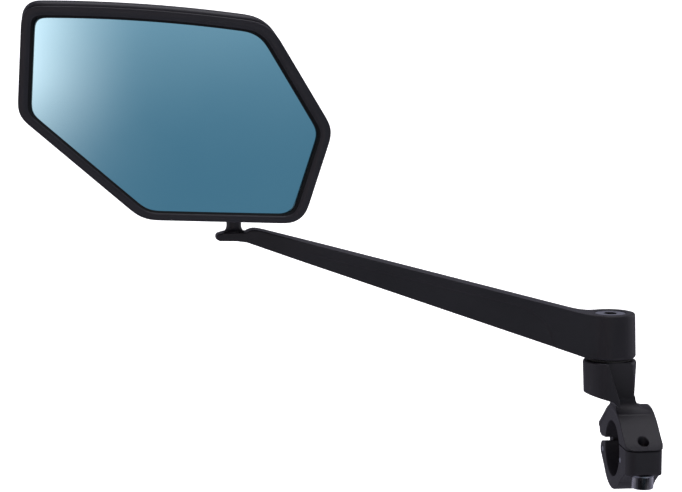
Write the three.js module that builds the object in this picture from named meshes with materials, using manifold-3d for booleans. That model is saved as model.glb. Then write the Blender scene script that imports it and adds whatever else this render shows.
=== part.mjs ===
// Left-hand handlebar mirror for a bicycle.
// Millimetres. The origin is the centre of the handlebar bore, X runs along the
// handlebar towards the middle of the bicycle, Y points the way the bicycle
// rides and Z is up. The rider looks at the glass along +Y.

import * as THREE from 'three';
import { mergeVertices } from 'three/addons/utils/BufferGeometryUtils.js';
import Module from 'manifold-3d';

// ---------------------------------------------------------------- dimensions

const GAP = 0.3;            // air between parts that turn or rest on each other
const FINE = 0.1;           // air between parts that are glued or screwed together
const ROUND = 32;           // facets of a large circle
const SMALL_ROUND = 20;     // facets of a pin, screw or small hole

// Handlebar clamp: two jaws around the bar, hinged in front, bolted at the back.
const BAR_R = 11.15;        // 22.2 mm handlebar and a hair of air
const CLAMP_WIDTH = 15.2;
const UPPER_JAW_R = 17.4;
const LOWER_JAW_R = 16.3;
const JAW_CREST = 0.26;     // angles from the upright and the level where the jaws' round backs
const JAW_SHOULDER = 0.72;  // run out into the lug and the nose
const LIP = 0.3;            // the upper jaw's rim stands this proud of the jaws' sides
const LIP_HEIGHT = 1.8;
const HINGE = { y: 15.6, z: -3.9 };
const HINGE_PIN_R = 1.2;
const HINGE_EAR_R = 3.4;
const TONGUE_WIDTH = 7.2;   // the upper jaw's hinge tongue, between the lower jaw's ears
const BACK_SPLIT_Z = 4.2;   // where the jaws meet on the rider's side
const FRONT_SPLIT_Z = 1.9;  // underside of the upper jaw at the bore on the hinge side
const FRONT_SLOPE = 0.12;   // that underside falls this much per millimetre outwards
const EAR_SLOPE = 0.234;    // and the ears' tops under it fall this much
const NOSE = { y: 21.6, z: 5 };
const LUG_BACK_Y = -24.4;   // the bolt lug's face towards the rider
const LUG_BOTTOM_Z = -5.9;
const LUG_CORNER_R = 4.2;

const BOLT_Y = -19.8;       // M5 socket-head clamp bolt
const BOLT_R = 2.5;
const BOLT_CORE_R = 2;      // under the thread, where the bolt sits in the upper jaw
const BOLT_HOLE_R = 2.95;
const BOLT_HEAD_R = 4.25;
const BOLT_HEAD_HEIGHT = 4.8;
const BOLT_TIP_Z = 5;
const BOLT_HEX = 4;
const HEX_DEPTH = 2.6;
const WASHER_THICK = 0.5;
const GRIP_PIN = { y: -12.25, z: -2.0, r: 1.1 };

// Upright post of the clamp and the arm's knuckle that turns on it.
const PIVOT_X = -9;
const POST_R = 10.6;
const POST_FOOT_R = 10;
const POST_TOP_Z = 36.2;
const FACET_HALF = 2.8;     // the post's flat begins this far outboard of the pivot
const COLLAR_LOW_Z = 20.6;  // where the collar's slanting underside meets the neck
const COLLAR_SLANT = 4.1;   // the underside is this much higher at its outer end
const NECK_LOW_Z = 14;
const NECK_HALF_DEPTH = 3.6;
const NECK_FOOT = { halfDepth: 8.6, z: 15.4 };   // the neck spreads to this over the jaw
const NECK_INBOARD = { x: 0.9, footX: 5.4, footZ: 16.6 };
const NECK_CURVE_Z = 17.4;  // the hollow curves turn around this height
const SCOOP = { topX: -12.4, lowX: -6.9, topY: 8.4 };   // slanting edge and depth of the scoops
const KNUCKLE_R = 9.8;
const KNUCKLE_FOOT_R = 10.3;
const KNUCKLE_LOW_Z = 37.2;
const KNUCKLE_TOP_Z = 55;
const EDGE_ROUND = 0.9;     // rolled edges on either side of the groove
const PIVOT_SCREW_R = 3;    // M6 countersunk
const PIVOT_HEAD_R = 6;
const PIVOT_HEX = 5;
const PIVOT_SCREW_LOW_Z = 25;
const BUSH_R = 5;
const BUSH_TOP_Z = 50.5;

// Arm: a flat tapered bar that rises outwards from the knuckle to a level tab.
const TAB_END_X = -165.1;
const TAB_TOP_Z = 89.2;     // level seat of the ball stud
const TAB_LOW_Z = 85.9;
const TAB_HALF_DEPTH = 4.3;
const SPIGOT = { r: 2, deep: 1.7 };   // the ball stud's centring end, let into the tab
const STUD_SCREW_R = 1.5;
const STUD_HEAD_R = 2.8;
const STUD_HEAD_HIGH = STUD_HEAD_R - STUD_SCREW_R;
const TAB_SEAT_X = -153.4;  // the seat ends here and the arm's top rises to its shoulder
const SHOULDER = { x: -148.8, z: 90.2 };
const ARM_HALF_DEPTH = 6.7;
const ARM_FULL_X = -124;    // the arm reaches its full depth here
const ARM_ROOT = { x: -19, lowZ: 37.6 };
const ARM_BEND_X = -18.6;   // the upper edge levels out here
const ARM_FLARE_X = -34;    // the arm widens to the knuckle from here
const FLARE_JOIN_Y = 8.4;   // and runs into the round knuckle this far from its middle
const PANEL_DEPTH = 0.5;    // shallow panel on the rider's side of the arm

// Ball joint under the head.
const BALL = { x: -158, y: -0.5, z: 104 };
const BALL_R = 4.75;
const NECK_R = 2.8;
const FLARE_R = 3.6;        // the neck spreads to this foot on the tab
const FLARE_RIM = 0.3;
const SEAT_IN_R = 5.05;
const SEAT_OUT_R = 6.35;
const SOCKET_R = 6.65;
const BLOCK_R = 7.9;
const BLOCK_TOP = 7;        // heights above the ball's centre
const SEAT_EDGE = 0.9;
const RING_LOW = -3.9;
const SOCKET_NOTCH = 9;     // half-width cut from the parts in front of the socket
const SOCKET_SCREW_X = 12;  // each side of the ball
const SOCKET_SCREW_Z = 2;
const FLANGE = { near: 1, far: 3, low: -2, high: 6 };

// Head: a six-sided frame with rounded corners and an arched top, seen by the
// rider. Corners are given from the ball's centre, clockwise from the outer top
// corner; the second one is the peak of the arch.
const HEAD_CORNERS = [
  { x: -78.3, z: 71.7, r: 6 },
  { x: -32, z: 71.4, r: 560 },
  { x: 13.5, z: 65.2, r: 15 },
  { x: 37.4, z: 25, r: 9 },
  { x: 25.7, z: -10.7, r: 8.5 },
  { x: -35, z: -8.5, r: 14 },
  { x: -80.7, z: 31.1, r: 8 },
];
const BROW = 2;             // the housing's top edge stands this far above the bezel
const RIM = [4.4, 4.4, 5.2, 4.7, 3.5, 4, 4.5];  // bezel width along each side
const HEAD_FRONT_Y = -13.4;
const BEZEL_DEPTH = 4.6;
const BEZEL_CROWN = 1.8;
const HOUSING_WALL = 2;
const TONGUE_IN = 2.3;      // the bezel's locating tongue, in from the edge
const TONGUE_THICK = 1;
const TONGUE_LONG = 2.2;
const DOME = { x: -180, z: 136, rx: 80, ry: 23, rz: 64 };
const TOWER_R = 10.2;       // swelling on the housing's back around the socket
const TOWER_TOP = 12;
const MOUTH_R = 6.1;        // opening for the neck in the housing's underside

const GLASS_R = 1000;       // convex glass
const GLASS_THICK = 1.8;
const GLASS_SET = 1;        // the glass's middle lies this far behind the bezel's crown
const GLASS_LAP = 1;        // hidden under the bezel's lip
const PAD_THICK = 1;
const CARRIER_THICK = 1.2;

// ------------------------------------------------------------------ materials

const paint = (colour, roughness, metalness = 0) => ({ color: colour, roughness, metalness });
const BLACK_ANODISED = paint(0x1d1c20, 0.55, 0.3);
const BLACK_PLASTIC = paint(0x1b1a1d, 0.6);
const BLACK_RUBBER = paint(0x141416, 0.9);
const NYLON = paint(0xd8d6cc, 0.5);
const STEEL = paint(0x9a9ca2, 0.3, 1);
const BLUE_MIRROR = paint(0x4f8ea6, 0.06, 0.9);
const FOAM = paint(0x2b2b2d, 0.95);

// -------------------------------------------------------------- solid helpers

const wasm = await Module();
wasm.setup();

/** Turns a closed three.js geometry into a manifold solid. */
function solid(geometry) {
  geometry.deleteAttribute('normal');
  geometry.deleteAttribute('uv');
  const merged = mergeVertices(geometry, 1e-4);
  return new wasm.Manifold(new wasm.Mesh({
    numProp: 3,
    vertProperties: new Float32Array(merged.attributes.position.array),
    triVerts: new Uint32Array(merged.index.array),
  }));
}

/** A box between two corners. */
function box(low, high) {
  const size = high.map((value, axis) => value - low[axis]);
  const middle = high.map((value, axis) => (value + low[axis]) / 2);
  return solid(new THREE.BoxGeometry(...size).translate(...middle));
}

/** An upright cylinder or cone from z0 to z1. */
function post(x, y, z0, z1, r0, r1 = r0, facets = SMALL_ROUND) {
  const geometry = new THREE.CylinderGeometry(r1, r0, z1 - z0, facets);
  return solid(geometry.rotateX(Math.PI / 2).translate(x, y, (z0 + z1) / 2));
}

/** A cylinder along X between x0 and x1. */
function crossbar(x0, x1, y, z, radius, facets = SMALL_ROUND) {
  const geometry = new THREE.CylinderGeometry(radius, radius, x1 - x0, facets);
  return solid(geometry.rotateZ(Math.PI / 2).translate((x0 + x1) / 2, y, z));
}

/** A cylinder along Y between y0 and y1. */
function dowel(x, z, y0, y1, radius, facets = SMALL_ROUND) {
  const geometry = new THREE.CylinderGeometry(radius, radius, y1 - y0, facets);
  return solid(geometry.translate(x, (y0 + y1) / 2, z));
}

/** A sphere around a point. */
function sphere(centre, radius, across = ROUND, down = 16) {
  return solid(new THREE.SphereGeometry(radius, across, down).translate(centre.x, centre.y, centre.z));
}

/** A turned solid: the profile holds [radius, height] pairs above a point. */
function turned(centre, profile, facets = ROUND) {
  const points = profile.map(([r, z]) => new THREE.Vector2(r, z));
  const geometry = new THREE.LatheGeometry(points, facets);
  return solid(geometry.rotateX(Math.PI / 2).translate(centre.x, centre.y, centre.z));
}

/** An upright hexagonal key socket. */
function hexSocket(x, y, z0, z1, acrossFlats) {
  return post(x, y, z0, z1, acrossFlats / Math.sqrt(3), acrossFlats / Math.sqrt(3), 6);
}

/** A flat outline in X and Z, carried along Y from y0 to y1. */
function slabY(shape, y0, y1, curveSegments = 6) {
  const geometry = new THREE.ExtrudeGeometry(shape, { depth: y1 - y0, bevelEnabled: false, curveSegments });
  return solid(geometry.rotateX(Math.PI / 2).translate(0, y1, 0));
}

/** A flat outline in Y and Z, carried along X from x0 to x1. */
function slabX(shape, x0, x1, curveSegments = 16) {
  const geometry = new THREE.ExtrudeGeometry(shape, { depth: x1 - x0, bevelEnabled: false, curveSegments });
  return solid(geometry.rotateY(Math.PI / 2).rotateX(Math.PI / 2).translate(x0, 0, 0));
}

/** A flat outline in X and Y, carried up from z0 to z1. */
function slabZ(shape, z0, z1, curveSegments = 6) {
  const geometry = new THREE.ExtrudeGeometry(shape, { depth: z1 - z0, bevelEnabled: false, curveSegments });
  return solid(geometry.translate(0, 0, z0));
}

/** A closed outline through [a, b] pairs, joined by straight lines. */
function polygon(points) {
  return new THREE.Shape(points.map(([a, b]) => new THREE.Vector2(a, b)));
}

/** A closed outline with each corner rounded to its own radius. */
function roundedPolygon(corners) {
  const shape = new THREE.Shape();
  corners.forEach((corner, index) => {
    const here = new THREE.Vector2(corner.x, corner.z);
    const before = corners[(index + corners.length - 1) % corners.length];
    const after = corners[(index + 1) % corners.length];
    const back = new THREE.Vector2(before.x, before.z).sub(here).normalize();
    const on = new THREE.Vector2(after.x, after.z).sub(here).normalize();
    const halfAngle = Math.acos(back.dot(on)) / 2;
    const reach = corner.r / Math.tan(halfAngle);
    const start = here.clone().addScaledVector(back, reach);
    const end = here.clone().addScaledVector(on, reach);
    const toCentre = back.clone().add(on).normalize();
    const centre = here.clone().addScaledVector(toCentre, corner.r / Math.sin(halfAngle));
    const startAngle = Math.atan2(start.y - centre.y, start.x - centre.x);
    const endAngle = Math.atan2(end.y - centre.y, end.x - centre.x);
    if (index === 0) shape.moveTo(start.x, start.y);
    else shape.lineTo(start.x, start.y);
    shape.absarc(centre.x, centre.y, corner.r, startAngle, endAngle, back.cross(on) > 0);
  });
  shape.closePath();
  return shape;
}

// Each mesh is one named piece with a material of its own.
const mirror = new THREE.Group();
mirror.name = 'bike_mirror';

function addPiece(name, body, look) {
  const mesh = body.getMesh();
  const geometry = new THREE.BufferGeometry();
  geometry.setAttribute('position', new THREE.BufferAttribute(new Float32Array(mesh.vertProperties), 3));
  geometry.setIndex(new THREE.BufferAttribute(new Uint32Array(mesh.triVerts), 1));
  geometry.computeVertexNormals();
  const piece = new THREE.Mesh(geometry, new THREE.MeshStandardMaterial(look));
  piece.name = name;
  mirror.add(piece);
}

// ----------------------------------------------------------------- the clamp

const CLAMP_HALF = CLAMP_WIDTH / 2;
const SIDE_HALF = CLAMP_HALF - LIP;
const handlebar = () => crossbar(-40, 40, 0, 0, BAR_R, 48);

/** Plan outline of the jaws, moved in by inset: square in front, rounded at the bolt lug. */
function jawPlan(inset) {
  const half = CLAMP_HALF - inset;
  return slabZ(roundedPolygon([
    { x: -half, z: 30, r: 0.8 },
    { x: half, z: 30, r: 0.8 },
    { x: half, z: LUG_BACK_Y + inset, r: LUG_CORNER_R - inset },
    { x: -half, z: LUG_BACK_Y + inset, r: LUG_CORNER_R - inset },
  ]), -40, 60);
}

/** Side outline of the upper jaw with its top surface lowered by drop, down to the two floors. */
function upperJawOutline(drop, lugFloor, noseFloor) {
  const crest = Math.PI / 2 + JAW_CREST;
  const outline = new THREE.Shape();
  outline.moveTo(LUG_BACK_Y, lugFloor);
  outline.lineTo(LUG_BACK_Y, BACK_SPLIT_Z + 0.4 - drop);
  outline.bezierCurveTo(
    LUG_BACK_Y + 7.2, BACK_SPLIT_Z + 3 - drop, -13.5, 14.4 - drop,
    UPPER_JAW_R * Math.cos(crest), UPPER_JAW_R * Math.sin(crest) - drop,
  );
  outline.absarc(0, -drop, UPPER_JAW_R, crest, Math.PI / 2 - JAW_SHOULDER, true);
  outline.lineTo(NOSE.y - 0.2, NOSE.z + 1.2 - drop);
  outline.lineTo(NOSE.y, NOSE.z - drop);
  outline.lineTo(NOSE.y - 1, noseFloor);
  outline.lineTo(BAR_R + 6, noseFloor - 6 * FRONT_SLOPE);
  outline.lineTo(BAR_R, noseFloor);
  outline.lineTo(0, noseFloor);
  outline.lineTo(0, lugFloor);
  outline.closePath();
  return outline;
}

/** Upper jaw: a half ring with a sloping bolt lug behind and a hinge nose in front. */
function upperJaw() {
  const outline = upperJawOutline(0, BACK_SPLIT_Z, FRONT_SPLIT_Z);
  const underLip = slabX(upperJawOutline(LIP_HEIGHT, -10, -10), -20, 20)
    .add(box([-20, 15, -10], [20, 30, NOSE.z - LIP_HEIGHT]));
  const lip = slabX(outline, -CLAMP_HALF, CLAMP_HALF).intersect(jawPlan(0)).subtract(underLip);
  const tongueHalf = TONGUE_WIDTH / 2;
  const tongueR = HINGE_EAR_R - GAP;
  const tongue = crossbar(-tongueHalf, tongueHalf, HINGE.y, HINGE.z, tongueR)
    .add(box([-tongueHalf, HINGE.y - tongueR, HINGE.z], [tongueHalf, HINGE.y + tongueR, FRONT_SPLIT_Z + 2]));
  return slabX(outline, -SIDE_HALF, SIDE_HALF).intersect(jawPlan(LIP)).add(lip).add(tongue);
}

/** A scoop out of the collar's front (side -1) or back (side 1), right of a slanting edge. */
function collarScoop(side) {
  const above = POST_TOP_Z + 1;
  const floor = polygon([
    [side * SCOOP.topY, above], [side * NECK_HALF_DEPTH, COLLAR_LOW_Z], [side * NECK_HALF_DEPTH, NECK_LOW_Z],
    [side * 20, NECK_LOW_Z], [side * 20, above],
  ]);
  const right = polygon([
    [SCOOP.topX, above], [SCOOP.lowX, COLLAR_LOW_Z], [SCOOP.lowX, NECK_LOW_Z], [10, NECK_LOW_Z], [10, above],
  ]);
  return slabX(floor, -20, 20).intersect(slabY(right, -30, 30));
}

/** Neck: grows out of the upper jaw's crest, with hollow curves in front, behind and inboard. */
function neck() {
  const { halfDepth, z } = NECK_FOOT;
  const fromSide = new THREE.Shape();
  fromSide.moveTo(-NECK_HALF_DEPTH, COLLAR_LOW_Z + 1);
  fromSide.lineTo(-NECK_HALF_DEPTH, COLLAR_LOW_Z);
  fromSide.quadraticCurveTo(-NECK_HALF_DEPTH, NECK_CURVE_Z, -halfDepth, z);
  fromSide.lineTo(-halfDepth, NECK_LOW_Z);
  fromSide.lineTo(halfDepth, NECK_LOW_Z);
  fromSide.lineTo(halfDepth, z);
  fromSide.quadraticCurveTo(NECK_HALF_DEPTH, NECK_CURVE_Z, NECK_HALF_DEPTH, COLLAR_LOW_Z);
  fromSide.lineTo(NECK_HALF_DEPTH, COLLAR_LOW_Z + 1);
  fromSide.closePath();
  const fromFront = new THREE.Shape();
  fromFront.moveTo(-SIDE_HALF, NECK_LOW_Z);
  fromFront.lineTo(-SIDE_HALF, COLLAR_LOW_Z + 1);
  fromFront.lineTo(NECK_INBOARD.x, COLLAR_LOW_Z + 1);
  fromFront.quadraticCurveTo(NECK_INBOARD.x, NECK_CURVE_Z, NECK_INBOARD.footX, NECK_INBOARD.footZ);
  fromFront.lineTo(NECK_INBOARD.footX, NECK_LOW_Z);
  fromFront.closePath();
  return slabX(fromSide, -20, 20).intersect(slabY(fromFront, -20, 20, 12));
}

/** Collar that carries the arm's knuckle beside the handlebar ring. */
function collar() {
  const flatY = -Math.sqrt(POST_R ** 2 - FACET_HALF ** 2);
  const round = turned({ x: PIVOT_X, y: 0, z: 0 }, [
    [0, NECK_LOW_Z], [POST_FOOT_R, NECK_LOW_Z], [POST_FOOT_R, COLLAR_LOW_Z],
    [POST_R, POST_TOP_Z - EDGE_ROUND], [POST_R - 0.3 * EDGE_ROUND, POST_TOP_Z - 0.3 * EDGE_ROUND],
    [POST_R - EDGE_ROUND, POST_TOP_Z], [0, POST_TOP_Z],
  ], 48);
  const aboveSlant = slabY(polygon([
    [-25, 40], [-25, COLLAR_LOW_Z + COLLAR_SLANT], [PIVOT_X - 0.5, COLLAR_LOW_Z],
    [-SIDE_HALF, COLLAR_LOW_Z - 2.3], [10, COLLAR_LOW_Z - 2.3], [10, 40],
  ]), -20, 20);
  const faceted = box([-30, -30, 0], [PIVOT_X - FACET_HALF, 30, 50])
    .add(box([PIVOT_X - FACET_HALF - GAP, flatY, 0], [30, 30, 50]));
  return round.intersect(aboveSlant).intersect(faceted).subtract(collarScoop(-1)).subtract(collarScoop(1));
}

function buildClampBody() {
  const body = upperJaw().add(neck()).add(collar())
    .subtract(handlebar())
    .subtract(post(0, BOLT_Y, -20, 30, BOLT_CORE_R + GAP / 2))
    .subtract(post(PIVOT_X, 0, PIVOT_SCREW_LOW_Z - 1, POST_TOP_Z + 1, PIVOT_SCREW_R + FINE))
    .subtract(crossbar(-20, 20, HINGE.y, HINGE.z, HINGE_PIN_R + FINE));
  addPiece('clamp_body', body, BLACK_ANODISED);
}

function buildLowerJaw() {
  const top = BACK_SPLIT_Z - GAP;
  const outline = new THREE.Shape();
  outline.moveTo(LUG_BACK_Y, top);
  outline.lineTo(LUG_BACK_Y, LUG_BOTTOM_Z + 1.2);
  outline.lineTo(LUG_BACK_Y + 1.4, LUG_BOTTOM_Z);
  outline.lineTo(BOLT_Y, LUG_BOTTOM_Z);
  outline.lineTo(-16.4, LUG_BOTTOM_Z - 2);
  outline.lineTo(-LOWER_JAW_R * Math.cos(JAW_SHOULDER), -LOWER_JAW_R * Math.sin(JAW_SHOULDER));
  outline.absarc(0, 0, LOWER_JAW_R, Math.PI + JAW_SHOULDER, Math.PI * 2 - JAW_SHOULDER, false);
  outline.lineTo(HINGE.y + HINGE_EAR_R * Math.cos(0.5), HINGE.z - HINGE_EAR_R * Math.sin(0.5));
  outline.absarc(HINGE.y, HINGE.z, HINGE_EAR_R, -0.5, Math.PI / 2 - EAR_SLOPE, false);
  outline.lineTo(BAR_R, HINGE.z + HINGE_EAR_R + EAR_SLOPE * (HINGE.y - BAR_R));
  outline.lineTo(0, HINGE.z + HINGE_EAR_R);
  outline.lineTo(0, top);
  outline.closePath();
  const slotHalf = TONGUE_WIDTH / 2 + GAP;
  const slotR = HINGE_EAR_R + FINE;
  const body = slabX(outline, -SIDE_HALF, SIDE_HALF).intersect(jawPlan(LIP))
    .subtract(handlebar())
    .subtract(crossbar(-slotHalf, slotHalf, HINGE.y, HINGE.z, slotR))
    .subtract(box([-slotHalf, HINGE.y - slotR, HINGE.z], [slotHalf, 30, 10]))
    .subtract(post(0, BOLT_Y, -20, 30, BOLT_HOLE_R))
    .subtract(post(0, BOLT_Y, -20, LUG_BOTTOM_Z, BOLT_HEAD_R + GAP))
    .subtract(crossbar(-20, 20, HINGE.y, HINGE.z, HINGE_PIN_R + FINE))
    .subtract(crossbar(-20, 20, GRIP_PIN.y, GRIP_PIN.z, GRIP_PIN.r + FINE));
  addPiece('lower_jaw', body, BLACK_ANODISED);
}

function buildClampHardware() {
  addPiece('hinge_pin', crossbar(-SIDE_HALF, SIDE_HALF, HINGE.y, HINGE.z, HINGE_PIN_R), STEEL);
  const gripPin = crossbar(-SIDE_HALF, SIDE_HALF, GRIP_PIN.y, GRIP_PIN.z, GRIP_PIN.r).subtract(handlebar());
  addPiece('grip_pin', gripPin, STEEL);

  const washerLow = LUG_BOTTOM_Z - FINE - WASHER_THICK;
  const washer = post(0, BOLT_Y, washerLow, washerLow + WASHER_THICK, BOLT_HEAD_R, BOLT_HEAD_R, ROUND)
    .subtract(post(0, BOLT_Y, -20, 20, BOLT_R + FINE));
  addPiece('bolt_washer', washer, STEEL);

  const headTop = washerLow - FINE;
  const headLow = headTop - BOLT_HEAD_HEIGHT;
  const shankTop = BACK_SPLIT_Z - GAP;
  const bolt = turned({ x: 0, y: BOLT_Y, z: 0 }, [
    [0, headLow], [BOLT_HEAD_R, headLow], [BOLT_HEAD_R, headTop], [BOLT_R, headTop],
    [BOLT_R, shankTop - 0.5], [BOLT_CORE_R, shankTop],
    [BOLT_CORE_R, BOLT_TIP_Z - 0.5], [BOLT_CORE_R - 0.5, BOLT_TIP_Z], [0, BOLT_TIP_Z],
  ]).subtract(hexSocket(0, BOLT_Y, headLow - 1, headLow + HEX_DEPTH, BOLT_HEX));
  addPiece('clamp_bolt', bolt, STEEL);
}

// ------------------------------------------------------------------ the arm

/** Side outline of the arm, the shape the rider sees. */
function armSide() {
  const slope = (SHOULDER.z - KNUCKLE_TOP_Z) / (SHOULDER.x - ARM_BEND_X);
  const along = (x) => KNUCKLE_TOP_Z + slope * (x - ARM_BEND_X);
  const side = new THREE.Shape();
  side.moveTo(TAB_END_X, TAB_TOP_Z - 1.4);
  side.lineTo(TAB_END_X + 0.6, TAB_TOP_Z - 0.7);
  side.lineTo(TAB_END_X + 3, TAB_TOP_Z);
  side.lineTo(TAB_SEAT_X, TAB_TOP_Z);
  side.quadraticCurveTo(TAB_SEAT_X + 1.5, SHOULDER.z - 0.1, SHOULDER.x - 1.5, SHOULDER.z);
  side.quadraticCurveTo(SHOULDER.x, SHOULDER.z, SHOULDER.x + 3, along(SHOULDER.x + 3));
  side.lineTo(ARM_BEND_X - 5, along(ARM_BEND_X - 5));
  side.quadraticCurveTo(ARM_BEND_X, KNUCKLE_TOP_Z, ARM_BEND_X + 5, KNUCKLE_TOP_Z);
  side.lineTo(PIVOT_X, KNUCKLE_TOP_Z);
  side.lineTo(PIVOT_X, ARM_ROOT.lowZ);
  side.lineTo(ARM_ROOT.x, ARM_ROOT.lowZ);
  side.lineTo(TAB_SEAT_X + 0.2, TAB_LOW_Z - 0.5);
  side.lineTo(TAB_SEAT_X - 3.6, TAB_LOW_Z);
  side.lineTo(TAB_END_X + 1.5, TAB_LOW_Z + 0.1);
  side.lineTo(TAB_END_X, TAB_LOW_Z + 0.9);
  side.closePath();
  return side;
}

/** Plan outline of the arm: a slim tab, then parallel sides that flare into the knuckle. */
function armPlan() {
  const joinX = PIVOT_X - Math.sqrt(KNUCKLE_R ** 2 - FLARE_JOIN_Y ** 2);
  const cornerX = joinX - (FLARE_JOIN_Y - ARM_HALF_DEPTH) * FLARE_JOIN_Y / (PIVOT_X - joinX);
  const corner = 1.5;
  const plan = new THREE.Shape();
  plan.moveTo(TAB_END_X, -TAB_HALF_DEPTH + corner);
  plan.quadraticCurveTo(TAB_END_X, -TAB_HALF_DEPTH, TAB_END_X + corner, -TAB_HALF_DEPTH);
  plan.quadraticCurveTo(TAB_SEAT_X, -TAB_HALF_DEPTH - 0.4, ARM_FULL_X, -ARM_HALF_DEPTH);
  plan.lineTo(ARM_FLARE_X, -ARM_HALF_DEPTH);
  plan.quadraticCurveTo(cornerX, -ARM_HALF_DEPTH, joinX, -FLARE_JOIN_Y);
  plan.lineTo(PIVOT_X, -FLARE_JOIN_Y);
  plan.lineTo(PIVOT_X, FLARE_JOIN_Y);
  plan.lineTo(joinX, FLARE_JOIN_Y);
  plan.quadraticCurveTo(cornerX, ARM_HALF_DEPTH, ARM_FLARE_X, ARM_HALF_DEPTH);
  plan.lineTo(ARM_FULL_X, ARM_HALF_DEPTH);
  plan.quadraticCurveTo(TAB_SEAT_X, TAB_HALF_DEPTH + 0.4, TAB_END_X + corner, TAB_HALF_DEPTH);
  plan.quadraticCurveTo(TAB_END_X, TAB_HALF_DEPTH, TAB_END_X, TAB_HALF_DEPTH - corner);
  plan.closePath();
  return plan;
}

/** The shallow panel under the arm's upper edge, ending in a curve by the knuckle. */
function armPanel() {
  const panel = new THREE.Shape();
  panel.moveTo(-153, 87.4);
  panel.lineTo(-105, 74.5);
  panel.lineTo(-49, 60);
  panel.quadraticCurveTo(-38, 56.5, -34.5, 49);
  panel.quadraticCurveTo(-32, 44, -30, 30);
  panel.lineTo(-153, 30);
  panel.closePath();
  return panel;
}

function buildArm() {
  const knuckle = turned({ x: PIVOT_X, y: 0, z: 0 }, [
    [0, KNUCKLE_LOW_Z], [KNUCKLE_FOOT_R - EDGE_ROUND, KNUCKLE_LOW_Z],
    [KNUCKLE_FOOT_R - 0.3 * EDGE_ROUND, KNUCKLE_LOW_Z + 0.3 * EDGE_ROUND],
    [KNUCKLE_FOOT_R, KNUCKLE_LOW_Z + EDGE_ROUND], [KNUCKLE_R, KNUCKLE_TOP_Z - 0.5],
    [KNUCKLE_R - 0.5, KNUCKLE_TOP_Z], [0, KNUCKLE_TOP_Z],
  ], 48);
  const sinkTop = KNUCKLE_TOP_Z - GAP;
  const body = slabY(armSide(), -12, 12).intersect(slabZ(armPlan(), 0, 120, 10))
    .subtract(slabY(armPanel(), -20, -ARM_HALF_DEPTH + PANEL_DEPTH))
    .add(knuckle)
    .subtract(post(PIVOT_X, 0, 30, BUSH_TOP_Z + FINE, BUSH_R + FINE))
    .subtract(post(PIVOT_X, 0, 30, 60, PIVOT_SCREW_R + GAP))
    .subtract(post(PIVOT_X, 0, sinkTop - PIVOT_HEAD_R + PIVOT_SCREW_R, sinkTop,
      PIVOT_SCREW_R + GAP, PIVOT_HEAD_R + GAP, ROUND))
    .subtract(post(PIVOT_X, 0, sinkTop - FINE, 60, PIVOT_HEAD_R + GAP, PIVOT_HEAD_R + GAP, ROUND))
    .subtract(post(BALL.x, BALL.y, 80, 95, STUD_SCREW_R + 2 * FINE))
    .subtract(post(BALL.x, BALL.y, TAB_TOP_Z - SPIGOT.deep - FINE, 95, SPIGOT.r + FINE))
    .subtract(post(BALL.x, BALL.y, TAB_LOW_Z - 2 * FINE, TAB_LOW_Z + 2 * FINE + STUD_HEAD_HIGH,
      STUD_HEAD_R + 4 * FINE, STUD_SCREW_R));
  addPiece('arm', body, BLACK_ANODISED);
}

function buildPivot() {
  const bush = post(PIVOT_X, 0, KNUCKLE_LOW_Z + FINE, BUSH_TOP_Z, BUSH_R)
    .subtract(post(PIVOT_X, 0, 30, 60, PIVOT_SCREW_R + FINE));
  addPiece('pivot_bush', bush, NYLON);

  const washerR = KNUCKLE_R - 0.8;
  const washer = post(PIVOT_X, 0, POST_TOP_Z + FINE, KNUCKLE_LOW_Z - FINE, washerR, washerR, ROUND)
    .subtract(post(PIVOT_X, 0, 30, 60, PIVOT_SCREW_R + GAP));
  addPiece('friction_washer', washer, BLACK_RUBBER);

  const headTop = KNUCKLE_TOP_Z - GAP;
  const headCone = PIVOT_HEAD_R - PIVOT_SCREW_R;
  const screw = turned({ x: PIVOT_X, y: 0, z: 0 }, [
    [0, PIVOT_SCREW_LOW_Z], [PIVOT_SCREW_R - 0.6, PIVOT_SCREW_LOW_Z],
    [PIVOT_SCREW_R, PIVOT_SCREW_LOW_Z + 0.6],
    [PIVOT_SCREW_R, headTop - headCone], [PIVOT_HEAD_R, headTop], [0, headTop],
  ]).subtract(hexSocket(PIVOT_X, 0, headTop - HEX_DEPTH, headTop + 1, PIVOT_HEX));
  addPiece('pivot_screw', screw, STEEL);
}

// ------------------------------------------------------------ the ball joint

/** Points of an arc around the ball's centre, as [radius, height] pairs. */
function ballArc(radius, fromHeight, toHeight, steps) {
  const from = Math.asin(fromHeight / radius);
  const to = Math.asin(toHeight / radius);
  return Array.from({ length: steps + 1 }, (_, step) => {
    const angle = from + (to - from) * step / steps;
    return [radius * Math.cos(angle), radius * Math.sin(angle)];
  });
}

function buildBallStud() {
  const tab = TAB_TOP_Z + FINE - BALL.z;
  const neckTop = -Math.sqrt(BALL_R ** 2 - NECK_R ** 2);
  const flare = FLARE_R - NECK_R;
  const stud = turned(BALL, [
    [0, tab - SPIGOT.deep], [SPIGOT.r, tab - SPIGOT.deep], [SPIGOT.r, tab], [FLARE_R, tab],
    [FLARE_R, tab + FLARE_RIM], [FLARE_R - flare * 0.6, tab + FLARE_RIM + flare * 0.4],
    [NECK_R, tab + FLARE_RIM + 2 * flare],
    ...ballArc(BALL_R, neckTop, BALL_R, 9).slice(0, -1), [0, BALL_R],
  ], 28).subtract(post(BALL.x, BALL.y, 80, 96, STUD_SCREW_R + FINE));
  addPiece('ball_stud', stud, STEEL);

  const low = TAB_LOW_Z + FINE;
  const screw = turned({ x: BALL.x, y: BALL.y, z: 0 }, [
    [0, low], [STUD_HEAD_R, low], [STUD_SCREW_R, low + STUD_HEAD_HIGH], [STUD_SCREW_R, 95], [0, 95],
  ], SMALL_ROUND).subtract(hexSocket(BALL.x, BALL.y, low - 1, low + 1.1, 2));
  addPiece('stud_screw', screw, STEEL);
}

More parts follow.
